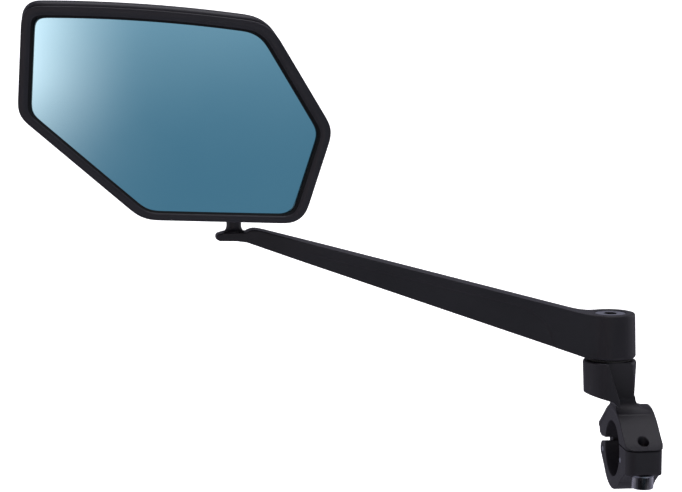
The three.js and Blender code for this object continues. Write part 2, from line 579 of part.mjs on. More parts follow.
/** Two nylon seats hold the ball, one below its equator and one above. */
function buildSeats() {
  const ring = turned(BALL, [
    ...ballArc(SEAT_IN_R, -SEAT_EDGE, RING_LOW, 4),
    ...ballArc(SEAT_OUT_R, RING_LOW, -SEAT_EDGE, 4),
    [Math.sqrt(SEAT_IN_R ** 2 - SEAT_EDGE ** 2), -SEAT_EDGE],
  ]);
  addPiece('ball_seat_lower', ring, NYLON);

  const cup = turned(BALL, [
    [0, SEAT_IN_R], ...ballArc(SEAT_IN_R, SEAT_IN_R, SEAT_EDGE, 6).slice(1),
    ...ballArc(SEAT_OUT_R, SEAT_EDGE, SEAT_OUT_R, 7).slice(0, -1), [0, SEAT_OUT_R],
  ]);
  addPiece('ball_seat_upper', cup, NYLON);
}

function buildSocket() {
  const mouthTop = -Math.sqrt(SOCKET_R ** 2 - 4.5 ** 2);
  const cavity = turned(BALL, [
    [0, -12], [MOUTH_R, -12], [4.5, mouthTop], ...ballArc(SOCKET_R, mouthTop, 0, 5).slice(1),
    [SOCKET_R, BLOCK_TOP + 1], [0, BLOCK_TOP + 1],
  ]);
  let block = post(BALL.x, BALL.y, BALL.z - 7, BALL.z + BLOCK_TOP, BLOCK_R, BLOCK_R, ROUND)
    .add(box(
      [BALL.x - SOCKET_SCREW_X - 3, BALL.y + FLANGE.near, BALL.z + FLANGE.low],
      [BALL.x + SOCKET_SCREW_X + 3, BALL.y + FLANGE.far, BALL.z + FLANGE.high],
    ))
    .subtract(cavity);
  [-1, 1].forEach((side, index) => {
    const x = BALL.x + side * SOCKET_SCREW_X;
    const z = BALL.z + SOCKET_SCREW_Z;
    const seat = BALL.y + FLANGE.near - FINE;
    block = block.subtract(dowel(x, z, -20, 20, 1.2));
    const screw = dowel(x, z, seat - 1.4, seat, 2).add(dowel(x, z, seat - 0.5, seat + 6, 1))
      .subtract(dowel(x, z, seat - 2, seat - 0.7, 0.8, 6));
    addPiece(`socket_screw_${index + 1}`, screw, STEEL);
  });
  addPiece('socket_block', block, BLACK_PLASTIC);

  const spring = post(BALL.x, BALL.y, BALL.z + SEAT_OUT_R + FINE, BALL.z + BLOCK_TOP - FINE, 4.4)
    .subtract(post(BALL.x, BALL.y, BALL.z, BALL.z + 10, 2.4));
  addPiece('seat_spring', spring, STEEL);

  const capLow = BALL.z + BLOCK_TOP + FINE;
  const cap = post(BALL.x, BALL.y, capLow, capLow + 1.8, BLOCK_R, BLOCK_R - 0.5, ROUND)
    .subtract(hexSocket(BALL.x, BALL.y, capLow + 0.9, capLow + 5, 5));
  addPiece('socket_cap', cap, BLACK_PLASTIC);
}

// ------------------------------------------------------------------- the head

/** The head's outline with every side moved inwards by its own distance. */
function headCorners(insets, shrinkRadius) {
  const corners = HEAD_CORNERS.map(({ x, z }) => new THREE.Vector2(BALL.x + x, BALL.z + z));
  const lines = corners.map((corner, index) => {
    const next = corners[(index + 1) % corners.length];
    const along = next.clone().sub(corner).normalize();
    const inwards = new THREE.Vector2(along.y, -along.x);
    return { point: corner.clone().addScaledVector(inwards, insets[index]), along };
  });
  return lines.map((line, index) => {
    const before = lines[(index + lines.length - 1) % lines.length];
    const gap = line.point.clone().sub(before.point);
    const reach = gap.cross(line.along) / before.along.cross(line.along);
    const corner = before.point.clone().addScaledVector(before.along, reach);
    return { x: corner.x, z: corner.y, r: Math.max(HEAD_CORNERS[index].r - shrinkRadius, 2.5) };
  });
}

const everySide = (inset) => HEAD_CORNERS.map(() => inset);
const headSlab = (inset, y0, y1) => slabY(roundedPolygon(headCorners(everySide(inset), inset)), y0, y1, 5);

/** The housing's outline: the head's own with its top raised into a brow. */
function housingSlab(inset, y0, y1) {
  const insets = everySide(inset).map((distance, side) => (side < 2 ? distance - BROW : distance));
  return slabY(roundedPolygon(headCorners(insets, inset)), y0, y1, 5);
}

/** The pillow shape of the housing's back, made smaller all round by inset. */
function dome(inset) {
  const geometry = new THREE.SphereGeometry(1, 48, 24);
  geometry.scale(DOME.rx - inset, DOME.ry - inset, DOME.rz - inset);
  return solid(geometry.translate(DOME.x, HEAD_FRONT_Y + BEZEL_DEPTH, DOME.z));
}

/** A round-topped tower around the ball socket. */
function tower(radius, low) {
  return post(BALL.x, BALL.y, BALL.z + low, BALL.z + TOWER_TOP, radius, radius, ROUND)
    .add(sphere({ x: BALL.x, y: BALL.y, z: BALL.z + TOWER_TOP }, radius, ROUND, 12));
}

function buildHousing() {
  const front = HEAD_FRONT_Y + BEZEL_DEPTH + FINE;
  const back = 40;
  const walls = housingSlab(0, front, back);
  const outer = walls.intersect(dome(0)).add(tower(TOWER_R, -20).intersect(walls));
  const room = housingSlab(HOUSING_WALL, front - 1, back);
  const inner = room.intersect(dome(HOUSING_WALL)).add(tower(BLOCK_R + GAP, -20).intersect(room));
  const screwHeight = BALL.z + SOCKET_SCREW_Z;
  const bossFront = BALL.y + FLANGE.far + FINE;
  let housing = outer.subtract(inner);
  for (const side of [-1, 1]) {
    const x = BALL.x + side * SOCKET_SCREW_X;
    housing = housing.add(dowel(x, screwHeight, bossFront, bossFront + 12, 2.6).intersect(outer))
      .subtract(dowel(x, screwHeight, bossFront - 1, bossFront + 4.2, 1.1));
  }
  housing = housing.subtract(post(BALL.x, BALL.y, BALL.z - 20, BALL.z - 6, MOUTH_R + 0.6, 4.9, ROUND));
  addPiece('mirror_housing', housing, BLACK_PLASTIC);
}

/** A dished disc that follows the convex glass, from one depth to another. */
function dishedDisc(near, far) {
  const radius = 85;
  const rings = 5;
  const front = Array.from({ length: rings + 1 }, (_, ring) => {
    const r = radius * ring / rings;
    return [r, r ** 2 / (2 * GLASS_R)];
  });
  const profile = [
    ...front.map(([r, sag]) => [r, near + sag]),
    ...front.reverse().map(([r, sag]) => [r, far + sag]),
  ];
  const points = profile.map(([r, y]) => new THREE.Vector2(r, y));
  return solid(new THREE.LatheGeometry(points, ROUND).translate(DOME.x, HEAD_FRONT_Y + GLASS_SET, DOME.z));
}

const glassSlab = (grow) => slabY(
  roundedPolygon(headCorners(RIM.map((width) => width - grow), RIM[0] - grow)), -30, 30, 5);

function buildBezel() {
  const back = HEAD_FRONT_Y + BEZEL_DEPTH;
  const crown = new THREE.ExtrudeGeometry(roundedPolygon(headCorners(everySide(BEZEL_CROWN), BEZEL_CROWN)), {
    depth: 12, bevelEnabled: true, bevelSize: BEZEL_CROWN, bevelThickness: BEZEL_CROWN, bevelSegments: 3,
    curveSegments: 5,
  });
  const frame = solid(crown.rotateX(Math.PI / 2).translate(0, HEAD_FRONT_Y + BEZEL_CROWN + 12, 0))
    .intersect(box([-300, -40, 0], [0, back, 300]));
  const tongue = headSlab(TONGUE_IN, back - 1, back + TONGUE_LONG)
    .subtract(headSlab(TONGUE_IN + TONGUE_THICK, back - 2, back + 20))
    .subtract(box([BALL.x - SOCKET_NOTCH, back, 80], [BALL.x + SOCKET_NOTCH, 30, BALL.z]));
  const bezel = frame.add(tongue)
    .subtract(glassSlab(0))
    .subtract(glassSlab(GLASS_LAP + FINE).intersect(dishedDisc(-FINE, 30)));
  addPiece('bezel', bezel, BLACK_PLASTIC);
}

function buildGlass() {
  const outline = glassSlab(GLASS_LAP);
  const padFront = GLASS_THICK + FINE;
  const carrierFront = padFront + PAD_THICK + FINE;
  addPiece('mirror_glass', outline.intersect(dishedDisc(0, GLASS_THICK)), BLUE_MIRROR);
  addPiece('glass_pad', outline.intersect(dishedDisc(padFront, padFront + PAD_THICK)), FOAM);
  const carrier = outline.intersect(dishedDisc(carrierFront, carrierFront + CARRIER_THICK))
    .subtract(box([BALL.x - SOCKET_NOTCH, -30, 80], [BALL.x + SOCKET_NOTCH, 30, BALL.z + BLOCK_TOP + 3]));
  addPiece('glass_carrier', carrier, BLACK_PLASTIC);
}

buildClampBody();
buildLowerJaw();
buildClampHardware();
buildArm();
buildPivot();
buildBallStud();
buildSeats();
buildSocket();
buildHousing();
buildBezel();
buildGlass();

export default mirror;
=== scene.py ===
import math

import bmesh
import bpy
import numpy as np
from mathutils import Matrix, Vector
from mathutils.geometry import convex_hull_2d


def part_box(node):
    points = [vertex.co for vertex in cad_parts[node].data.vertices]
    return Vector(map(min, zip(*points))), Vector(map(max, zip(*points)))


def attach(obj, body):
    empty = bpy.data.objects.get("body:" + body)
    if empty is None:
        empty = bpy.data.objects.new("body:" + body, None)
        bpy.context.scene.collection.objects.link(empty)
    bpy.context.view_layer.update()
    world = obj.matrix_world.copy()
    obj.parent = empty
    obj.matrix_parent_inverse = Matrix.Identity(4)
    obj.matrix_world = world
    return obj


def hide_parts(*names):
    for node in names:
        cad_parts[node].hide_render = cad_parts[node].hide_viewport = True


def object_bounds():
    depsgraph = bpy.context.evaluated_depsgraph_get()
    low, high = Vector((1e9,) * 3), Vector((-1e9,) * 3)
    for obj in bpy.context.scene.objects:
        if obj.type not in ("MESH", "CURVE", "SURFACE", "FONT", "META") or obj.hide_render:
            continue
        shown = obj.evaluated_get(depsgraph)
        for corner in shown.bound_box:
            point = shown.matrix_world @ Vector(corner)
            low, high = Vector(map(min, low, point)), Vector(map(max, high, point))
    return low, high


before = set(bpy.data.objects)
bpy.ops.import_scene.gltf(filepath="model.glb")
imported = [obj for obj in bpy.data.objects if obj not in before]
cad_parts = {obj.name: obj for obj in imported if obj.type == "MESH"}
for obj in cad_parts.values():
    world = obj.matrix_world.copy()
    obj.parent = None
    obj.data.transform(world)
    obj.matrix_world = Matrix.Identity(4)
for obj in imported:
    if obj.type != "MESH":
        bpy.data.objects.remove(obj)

# The looks of a bicycle handlebar mirror. Metres, in the frame of the CAD part.
# Forged and moulded parts are softened copies or new smooth meshes built on the
# frame's own boxes and outlines. Screws and pins are turned from their boxes.

MM = 0.001
BOUNDS_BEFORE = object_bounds()

# ------------------------------------------------------------ shared measures

OUTLINE_POINTS = 360        # around the head
TURN_STEPS = 96             # around a screw or a ball
OUTLINE_PASSES = 6          # of smoothing over an outline's facets
PIN_STEPS = 48              # around a thin pin
BEVEL_STEPS = 4             # along a rounded corner
FACES_KEPT = 0.4            # share of a softened copy's faces
GLASS_RADIUS = 1000 * MM    # how strongly the glass bulges
GLASS_THICK = 1.8 * MM
GLASS_LAP = 1.0 * MM        # width of glass hidden under the bezel's lip
CREASE = 0.3 * MM           # rounding of a turned part's edges


def low(node):
    """The lowest corner of a CAD node's box."""
    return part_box(node)[0]


def high(node):
    """The highest corner of a CAD node's box."""
    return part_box(node)[1]


def middle(node):
    """The middle of a CAD node's box."""
    lowest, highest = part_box(node)
    return (lowest + highest) / 2


BALL = Vector((middle("ball_stud").x, middle("ball_stud").y, 0))
BALL_RADIUS = (high("ball_stud").x - low("ball_stud").x) / 2
BALL.z = high("ball_stud").z - BALL_RADIUS
STUD_LET_IN = 1.6 * MM      # how far the stud's centring end reaches into the arm's tab
TAB_TOP = low("ball_stud").z + STUD_LET_IN
GLASS_FRONT = low("mirror_glass").y
GLASS_CROWN = (middle("mirror_glass").x, middle("mirror_glass").z)


# ---------------------------------------------------------------- mesh helpers

def add_object(name, mesh):
    """Puts a mesh in the scene under a name."""
    piece = bpy.data.objects.new(name, mesh)
    bpy.context.scene.collection.objects.link(piece)
    return piece


def mesh_from(name, points, faces):
    """A closed, smooth-shaded mesh with its faces turned outwards."""
    mesh = bpy.data.meshes.new(name)
    mesh.from_pydata([tuple(point) for point in points], [], faces)
    work = bmesh.new()
    work.from_mesh(mesh)
    bmesh.ops.remove_doubles(work, verts=work.verts, dist=0.001 * MM)
    bmesh.ops.recalc_face_normals(work, faces=work.faces)
    work.to_mesh(mesh)
    work.free()
    mesh.shade_smooth()
    return mesh


def ring_faces(rings, count, closed=False):
    """Quads between successive rings of points."""
    pairs = [(ring, ring + 1) for ring in range(rings - 1)]
    if closed:
        pairs.append((rings - 1, 0))
    return [
        (a * count + step, a * count + (step + 1) % count, b * count + (step + 1) % count, b * count + step)
        for a, b in pairs for step in range(count)
    ]


def capped_mesh(name, rings):
    """A closed mesh through rings of OUTLINE_POINTS points, with a flat cap on each end ring."""
    points = [point for ring in rings for point in ring]
    faces = ring_faces(len(rings), OUTLINE_POINTS)
    last = (len(rings) - 1) * OUTLINE_POINTS
    faces.append(tuple(range(OUTLINE_POINTS)))
    faces.append(tuple(range(last, last + OUTLINE_POINTS)))
    return mesh_from(name, points, faces)


def settle(piece):
    """Applies the piece's modifiers."""
    graph = bpy.context.evaluated_depsgraph_get()
    graph.update()
    mesh = bpy.data.meshes.new_from_object(piece.evaluated_get(graph))
    piece.modifiers.clear()
    piece.data = mesh


def cut(piece, tool):
    """Cuts the tool out of the piece and throws the tool away."""
    modifier = piece.modifiers.new("cut", "BOOLEAN")
    modifier.operation = "DIFFERENCE"
    modifier.solver = "EXACT"
    modifier.object = tool
    settle(piece)
    bpy.data.objects.remove(tool)


def crisp(piece, degrees=35):
    """Smooth shading that breaks at edges sharper than the given angle."""
    piece.data.shade_smooth()
    edge_split = piece.modifiers.new("crisp", "EDGE_SPLIT")
    edge_split.split_angle = math.radians(degrees)


def softened(node, name, voxel, rounds):
    """A copy of a CAD node with all its edges rounded, as a forging has them."""
    piece = add_object(name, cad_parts[node].data.copy())
    piece.data.materials.clear()
    remesh = piece.modifiers.new("remesh", "REMESH")
    remesh.mode = "VOXEL"
    remesh.voxel_size = voxel
    smooth = piece.modifiers.new("smooth", "SMOOTH")
    smooth.factor = 0.5
    smooth.iterations = rounds
    thin = piece.modifiers.new("thin", "DECIMATE")
    thin.ratio = FACES_KEPT
    settle(piece)
    piece.data.shade_smooth()
    return piece


NO_FLUTES = (0, -1, 0, 0.0)


def turned(name, centre, profile, axis="Z", steps=TURN_STEPS, flutes=NO_FLUTES):
    """A solid of revolution. The profile holds (radius, height) pairs, both ends on the axis.
    flutes is (first row, last row, teeth, depth) of a fluted band."""
    fluted_from, fluted_to, teeth, groove = flutes
    points = []
    for row, (radius, height) in enumerate(profile):
        for step in range(steps):
            angle = 2 * math.pi * step / steps
            reach = radius
            if fluted_from <= row <= fluted_to:
                reach -= groove * (0.5 - 0.5 * math.cos(teeth * angle))
            across, up = reach * math.cos(angle), reach * math.sin(angle)
            local = (height, across, up) if axis == "X" else (across, up, height)
            points.append(centre + Vector(local))
    return add_object(name, mesh_from(name, points, ring_faces(len(profile), steps)))


def bevelled(corners, radius):
    """A profile with each inner corner rounded: corners are (radius, height) pairs."""
    rounded = [corners[0]]
    for before, here, after in zip(corners, corners[1:], corners[2:]):
        a, b, c = Vector(before), Vector(here), Vector(after)
        reach = min(radius, (a - b).length / 2, (c - b).length / 2)
        start, end = b + (a - b).normalized() * reach, b + (c - b).normalized() * reach
        for step in range(BEVEL_STEPS + 1):
            t = step / BEVEL_STEPS
            point = start * (1 - t) ** 2 + b * 2 * t * (1 - t) + end * t ** 2
            rounded.append((point.x, point.y))
    rounded.append(corners[-1])
    return rounded


def hex_key(centre, across_flats, height):
    """A six-sided cutter for key sockets."""
    radius = across_flats / math.sqrt(3)
    return turned("key", centre, [(0, 0), (radius, 0), (radius, height), (0, height)], steps=6)


# ------------------------------------------------------------------- outlines

def resampled(points, count):
    """The closed line through the points, as evenly spaced points."""
    closed = np.vstack([points, points[:1]])
    along = np.concatenate([[0], np.cumsum(np.linalg.norm(np.diff(closed, axis=0), axis=1))])
    wanted = np.linspace(0, along[-1], count, endpoint=False)
    return np.stack([np.interp(wanted, along, closed[:, axis]) for axis in (0, 1)], axis=1)


def eased(values, passes):
    """Values around a closed line, each drawn towards its two neighbours a number of times."""
    for _ in range(passes):
        values = (np.roll(values, 1, axis=0) + 2 * values + np.roll(values, -1, axis=0)) / 4
    return values


def outline(node):
    """The outline of a CAD node seen along Y, with its facets smoothed away."""
    flat = [Vector((vertex.co.x, vertex.co.z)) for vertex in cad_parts[node].data.vertices]
    hull = np.array([tuple(flat[index]) for index in convex_hull_2d(flat)])
    return eased(resampled(hull, OUTLINE_POINTS), OUTLINE_PASSES)


def inset(line, distance):
    """The outline moved inwards, by one distance or by one for each of its points."""
    tangent = np.roll(line, -1, axis=0) - np.roll(line, 1, axis=0)
    tangent /= np.linalg.norm(tangent, axis=1, keepdims=True)
    normal = np.stack([-tangent[:, 1], tangent[:, 0]], axis=1)
    towards_middle = np.sign(np.sum(normal * (line.mean(axis=0) - line)))
    return line + normal * towards_middle * np.reshape(distance, (-1, 1))


def nearest(line, targets):
    """For each point of the line, the nearest of the targets."""
    apart = np.linalg.norm(line[:, None, :] - targets[None, :, :], axis=2)
    return targets[np.argmin(apart, axis=1)]


def glass_sag(x, z):
    """How far the convex glass has fallen back at a place on it."""
    return ((x - GLASS_CROWN[0]) ** 2 + (z - GLASS_CROWN[1]) ** 2) / (2 * GLASS_RADIUS)


# ------------------------------------------------------------------ materials

def material(name, colour, roughness, metallic=0.0):
    """A plain shader whose colour, roughness and bump the caller's nodes vary."""
    made = bpy.data.materials.new(name)
    made.use_nodes = True
    shader = made.node_tree.nodes["Principled BSDF"]
    shader.inputs["Base Color"].default_value = (*colour, 1)
    shader.inputs["Roughness"].default_value = roughness
    shader.inputs["Metallic"].default_value = metallic
    return made, shader


def noise(tree, scale, detail, roughness=0.5):
    """Noise in the object's own coordinates, which are metres."""
    place = tree.nodes.new("ShaderNodeTexCoord")
    texture = tree.nodes.new("ShaderNodeTexNoise")
    texture.inputs["Scale"].default_value = scale
    texture.inputs["Detail"].default_value = detail
    texture.inputs["Roughness"].default_value = roughness
    tree.links.new(place.outputs["Object"], texture.inputs["Vector"])
    return texture.outputs["Fac"]


def spread(tree, value, start, end):
    """Maps a noise value, which lies mostly between 0.3 and 0.7, onto a range."""
    node = tree.nodes.new("ShaderNodeMapRange")
    node.inputs["From Min"].default_value = 0.3
    node.inputs["From Max"].default_value = 0.7
    node.inputs["To Min"].default_value = start
    node.inputs["To Max"].default_value = end
    tree.links.new(value, node.inputs["Value"])
    return node.outputs["Result"]


def ramp(tree, value, start, end, low_value=0.0, high_value=1.0, power=1.0):
    """Maps a value running from start to end onto a range, along a power curve."""
    share = tree.nodes.new("ShaderNodeMapRange")
    share.inputs["From Min"].default_value = start
    share.inputs["From Max"].default_value = end
    tree.links.new(value, share.inputs["Value"])
    bent = tree.nodes.new("ShaderNodeMath")
    bent.operation = "POWER"
    bent.inputs[1].default_value = power
    tree.links.new(share.outputs["Result"], bent.inputs[0])
    scaled = tree.nodes.new("ShaderNodeMath")
    scaled.operation = "MULTIPLY_ADD"
    scaled.inputs[1].default_value = high_value - low_value
    scaled.inputs[2].default_value = low_value
    tree.links.new(bent.outputs["Value"], scaled.inputs[0])
    return scaled.outputs["Value"]


def tint(tree, value, dark, light):
    """Mixes two colours by a noise value."""
    node = tree.nodes.new("ShaderNodeMix")
    node.data_type = "RGBA"
    node.inputs["A"].default_value = (*dark, 1)
    node.inputs["B"].default_value = (*light, 1)
    tree.links.new(spread(tree, value, 0, 1), node.inputs["Factor"])
    return node.outputs["Result"]


def bump(tree, shader, height, strength, distance):
    """Raises the surface by a noise value."""
    node = tree.nodes.new("ShaderNodeBump")
    node.inputs["Strength"].default_value = strength
    node.inputs["Distance"].default_value = distance
    tree.links.new(height, node.inputs["Height"])
    tree.links.new(node.outputs["Normal"], shader.inputs["Normal"])


def textured_black(name, dark, light, roughness, grain, relief, sheen=0.5):
    """Black with a fine even grain: anodised metal after blasting, or eroded plastic."""
    made, shader = material(name, dark, roughness)
    shader.inputs["Specular IOR Level"].default_value = sheen
    tree = made.node_tree
    variation = 0.07
    fine = noise(tree, grain, detail=2.0, roughness=0.6)
    cloud = noise(tree, grain / 60, detail=4.0)
    tree.links.new(tint(tree, cloud, dark, light), shader.inputs["Base Color"])
    gloss = spread(tree, fine, roughness - variation, roughness + variation)
    tree.links.new(gloss, shader.inputs["Roughness"])
    bump(tree, shader, fine, strength=0.35, distance=relief)
    return made


def bright_steel(name, colour, roughness, rim=None):
    """Turned and plated steel with fine scratches. A rim colour, a painted highlight, takes over where the
    surface turns away.
    """
    made, shader = material(name, colour, roughness, metallic=1.0)
    tree = made.node_tree
    cloud = noise(tree, scale=400, detail=5.0, roughness=0.6)
    darker = tuple(0.75 * channel for channel in colour)
    steel = tint(tree, cloud, darker, colour)
    if rim:
        # Painted highlight: the base colour brightens to the rim colour where the surface turns away from
        # the view.
        facing_for_painted_highlight = tree.nodes.new("ShaderNodeLayerWeight").outputs["Facing"]
        blend = tree.nodes.new("ShaderNodeMix")
        blend.data_type = "RGBA"
        tree.links.new(ramp(tree, facing_for_painted_highlight, start=0.12, end=0.6), blend.inputs["Factor"])
        tree.links.new(steel, blend.inputs["A"])
        blend.inputs["B"].default_value = (*rim, 1)
        steel = blend.outputs["Result"]
    tree.links.new(steel, shader.inputs["Base Color"])
    tree.links.new(spread(tree, cloud, roughness - 0.08, roughness + 0.1), shader.inputs["Roughness"])
    bump(tree, shader, noise(tree, scale=6000, detail=2.0), strength=0.2, distance=0.01 * MM)
    return made


def blue_mirror():
    """Anti-glare glass: a blue reflecting coat with a faint bloom."""
    coat, bloom_tint = (0.3, 0.56, 0.68), (0.28, 0.54, 0.665)
    clear, hazy = 0.1, 0.13
    made, shader = material("blue_mirror_glass", coat, clear, metallic=1.0)
    tree = made.node_tree
    bloom = noise(tree, scale=25, detail=3.0)
    tree.links.new(tint(tree, bloom, bloom_tint, coat), shader.inputs["Base Color"])
    tree.links.new(spread(tree, bloom, clear, hazy), shader.inputs["Roughness"])
    return made


def plain(name, colour, roughness, grain):
    """Nylon, rubber, foam or the near-black of painted shade, each with a grain of its own."""
    made, shader = material(name, colour, roughness)
    tree = made.node_tree
    fine = noise(tree, grain, detail=4.0, roughness=0.6)
    darker = tuple(0.8 * channel for channel in colour)
    tree.links.new(tint(tree, fine, darker, colour), shader.inputs["Base Color"])
    bump(tree, shader, fine, strength=0.4, distance=0.05 * MM)
    return made


ANODISED = textured_black(
    "black_anodised", dark=(0.0068, 0.0063, 0.0089), light=(0.0094, 0.0087, 0.0121),
    roughness=0.5, grain=3600, relief=0.03 * MM, sheen=0.42,
)
PLASTIC = textured_black(
    "black_moulded", dark=(0.0072, 0.0070, 0.0105), light=(0.0098, 0.0095, 0.0140),
    roughness=0.48, grain=4800, relief=0.02 * MM,
)
STEEL = bright_steel("zinc_steel", (0.42, 0.44, 0.5), 0.32)
# The bolt's light rim colour is a painted highlight around its dark head.
BOLT_STEEL = bright_steel("bolt_steel", (0.06, 0.06, 0.065), 0.3, rim=(0.75, 0.75, 0.8))
GLASS = blue_mirror()
NYLON = plain("nylon", (0.62, 0.60, 0.52), 0.5, 900)
RUBBER = plain("rubber", (0.012, 0.012, 0.012), 0.85, 1500)
FOAM = plain("foam", (0.03, 0.03, 0.032), 0.95, 2500)
# Near-black painted shade for the bezel's bevel down to the glass and for the walls of key sockets.
PAINTED_SHADE = plain("painted_shade_black", (0.0012, 0.0012, 0.0014), 0.9, 2000)


def paint_socket_shade(piece, centre, across_flats, face_z, inwards):
    """Paints shade in black on the walls and floor of a key socket: inwards is 1 for up, -1 for down."""
    piece.data.materials.append(PAINTED_SHADE)
    skin, reach = 0.05 * MM, 0.56 * across_flats
    for polygon in piece.data.polygons:
        offset = polygon.center - centre
        deep = (polygon.center.z - face_z) * inwards > skin
        if deep and math.hypot(offset.x, offset.y) < reach:
            polygon.material_index = 1


def paint(piece, look):
    """Gives a piece one material in place of all it has."""
    piece.data.materials.clear()
    piece.data.materials.append(look)
    return piece


def finish_piece(piece, body, slot, look, *nodes):
    """Gives a new piece its material, its body and the CAD nodes it stands for."""
    paint(piece, look)
    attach(piece, body)
    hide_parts(*nodes)


# -------------------------------------------------------------------- the head

def build_bezel():
    """The front frame: a rounded rim that rolls over to a bevel down to the glass, with painted shade on
    the bevel.
    """
    outer = outline("bezel")
    inner = nearest(outer, inset(resampled(outline("mirror_glass"), 4 * OUTLINE_POINTS), GLASS_LAP))
    joint_gap, joint_chamfer = 0.1 * MM, 0.25 * MM
    front, back = low("bezel").y, low("mirror_housing").y - joint_gap
    crown_rows = [  # share of the way across the rim from its outer edge, and depth behind the crown
        (0.0, 1.0 * MM), (0.01, 0.55 * MM), (0.03, 0.3 * MM), (0.07, 0.17 * MM), (0.16, 0.08 * MM),
        (0.35, 0.0), (0.5, 0.02 * MM), (0.62, 0.12 * MM), (0.72, 0.3 * MM), (0.8, 0.52 * MM),
        (0.86, 0.8 * MM),
    ]
    rings = []
    for across, depth in [(0.04, back - front), (0.0, back - front - joint_chamfer), *crown_rows]:
        line = outer + (inner - outer) * across
        rings.append([(x, front + depth, z) for x, z in line])
    # The bands from the last two crown rows down to the glass get painted shade.
    painted_shade_from, painted_shade_rows = len(rings) - 2, 4
    step_in = 0.75
    lip_rows = ((0.985, 0.28 * MM), (1.0, 0.12 * MM), (1.0, 0.0), (step_in, 0.0))
    for across, lift in lip_rows:  # share of the way across, and height above the glass
        line = outer + (inner - outer) * across
        rings.append([(x, GLASS_FRONT + glass_sag(x, z) - lift, z) for x, z in line])
    rings.append([(x, back, z) for x, z in outer + (inner - outer) * step_in])
    points = [point for ring in rings for point in ring]
    faces = ring_faces(len(rings), OUTLINE_POINTS, closed=True)
    piece = add_object("bezel_frame", mesh_from("bezel_frame", points, faces))
    finish_piece(piece, "head", "black_plastic", PLASTIC, "bezel")
    # Painted shade on the bevel down to the glass.
    piece.data.materials.append(PAINTED_SHADE)
    for index in range(painted_shade_from * OUTLINE_POINTS, (painted_shade_from + painted_shade_rows) * OUTLINE_POINTS):
        piece.data.polygons[index].material_index = 1


def build_glass():
    """The convex mirror: a domed plate of even thickness."""
    edge = outline("mirror_glass")
    centre = np.array(GLASS_CROWN)
    shares = [0.001, *np.linspace(0.04, 1, 24) ** 0.8]
    front_rows = [(share, 0) for share in shares]
    back_rows = [(share, GLASS_THICK) for share in reversed(shares)]
    rings = []
    for share, depth in front_rows + back_rows:
        line = centre + (edge - centre) * share
        rings.append([(x, GLASS_FRONT + glass_sag(x, z) + depth, z) for x, z in line])
    piece = add_object("glass_plate", capped_mesh("glass_plate", rings))
    finish_piece(piece, "head", "blue_mirror", GLASS, "mirror_glass")


def tower_back(x, z):
    """How far back the round swelling over the ball socket reaches at a place."""
    radius = 10.2 * MM
    top = BALL.z + 12 * MM
    nowhere = -1.0
    under = radius ** 2 - (x - BALL.x) ** 2 - max(0.0, z - top) ** 2
    return BALL.y + math.sqrt(under) if under > 0 else nowhere


def smooth_max(a, b, blend):
    """The greater of two values, with the join between them rounded."""
    share = max(0.0, min(1.0, 0.5 + 0.5 * (a - b) / blend))
    return b + (a - b) * share + blend * share * (1 - share)


def build_housing():
    """The back shell: its brow wraps the bezel's top, its back is a pillow swollen over the socket."""
    edge = outline("mirror_housing")
    front, back = low("mirror_housing").y, high("mirror_housing").y
    wall, thick, tower_fillet = 5 * MM, 2 * MM, 3 * MM
    pillow_shift, pillow_power = 1 * MM, 3.2
    middle_share = 0.002
    centre = np.array([GLASS_CROWN[0] + pillow_shift, GLASS_CROWN[1]])

    def back_at(x, z, share):
        """How far back the shell reaches at a place, at a share of the way out to its edge."""
        pillow = front + wall + (back - front - wall) * (1 - share ** pillow_power) ** 0.5
        return smooth_max(pillow, tower_back(x, z), tower_fillet)

    brow = np.linalg.norm(edge - nearest(edge, resampled(outline("bezel"), 4 * OUTLINE_POINTS)), axis=1)
    brow_passes, roll_least, roll_share, roll_slope, wrap = 40, 0.25 * MM, 0.85, 1.4, 2.1
    brow = eased(brow, brow_passes)
    roll = roll_least + roll_share * brow      # the brow's rounding grows with how far it stands out
    inner_edge = inset(edge, roll + thick)
    shares = [math.cos(math.pi / 2 * step / 30) for step in range(30)]
    rings = []
    for share in (middle_share, *reversed(shares)):
        line = centre + (inner_edge - centre) * share
        rings.append([(x, back_at(x, z, share) - thick, z) for x, z in line])
    rings.append([(x, front, z) for x, z in inner_edge])
    rings.append([(x, front, z) for x, z in inset(edge, roll)])
    brow_front = front - wrap * brow
    for angle in np.linspace(0, math.pi / 2, 7):
        line = inset(edge, roll * (1 - math.sin(angle)))
        depths = brow_front + roll_slope * roll * (1 - math.cos(angle))
        rings.append([(x, y, z) for (x, z), y in zip(line, depths)])
    for share in (*shares, middle_share):
        line = centre + (edge - centre) * share
        rings.append([(x, back_at(x, z, share), z) for x, z in line])
    piece = add_object("housing_shell", capped_mesh("housing_shell", rings))
    depth = BALL.z - low("mirror_housing").z
    lip, throat, cone = 6.7 * MM, 4.9 * MM, 3.6 * MM
    mouth = turned("mouth", Vector((BALL.x, BALL.y, BALL.z - 2 * depth)), [
        (0, 0), (lip, 0), (lip, depth), (throat, depth + cone), (0, depth + cone),
    ])
    cut(piece, mouth)
    crisp(piece, degrees=50)
    finish_piece(piece, "head", "black_plastic", PLASTIC, "mirror_housing")


# ---------------------------------------------------------- arm, clamp and jaw

def build_forgings():
    """Arm, clamp and jaw, each with the slightly rounded edges of a blasted forging."""
    for node, name, body, voxel, rounds in (
        ("arm", "arm_forging", "arm", 0.3 * MM, 3),
        ("clamp_body", "clamp_forging", "clamp", 0.22 * MM, 4),
        ("lower_jaw", "jaw_forging", "lower_jaw", 0.22 * MM, 4),
    ):
        forging = softened(node, name, voxel, rounds)
        finish_piece(forging, body, "black_aluminium", ANODISED, node)


# ------------------------------------------------------------ screws and pins

